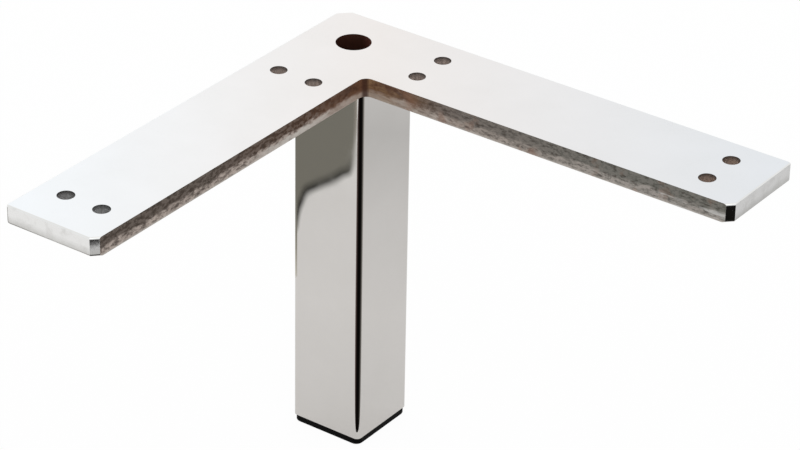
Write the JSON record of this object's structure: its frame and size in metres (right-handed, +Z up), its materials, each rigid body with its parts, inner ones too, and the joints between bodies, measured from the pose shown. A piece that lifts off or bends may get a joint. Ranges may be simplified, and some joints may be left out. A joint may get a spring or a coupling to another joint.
{
  "type": "corner furniture foot",
  "caption": "Chromed corner foot for a sofa or cabinet: an L-shaped screw-on steel plate, a welded square tube leg and a black plastic end cap.",
  "frame": {"origin": "middle of the foot cap's underside, on the tube's axis and on the floor", "axes": "+Z up along the tube to the plate that carries the furniture, +X along the longer arm of the plate, -Y along the shorter arm"},
  "size_m": [0.197, 0.191, 0.165],
  "materials": {
    "chromed_steel": "polished chrome plating, rough and browned on the plate's cut inner sides",
    "black_plastic": "moulded, matt"
  },
  "bodies": {
    "root": {"mounting_plate": "chromed_steel", "leg_tube": "chromed_steel", "foot_cap": "black_plastic"}
  },
  "joints": []
}
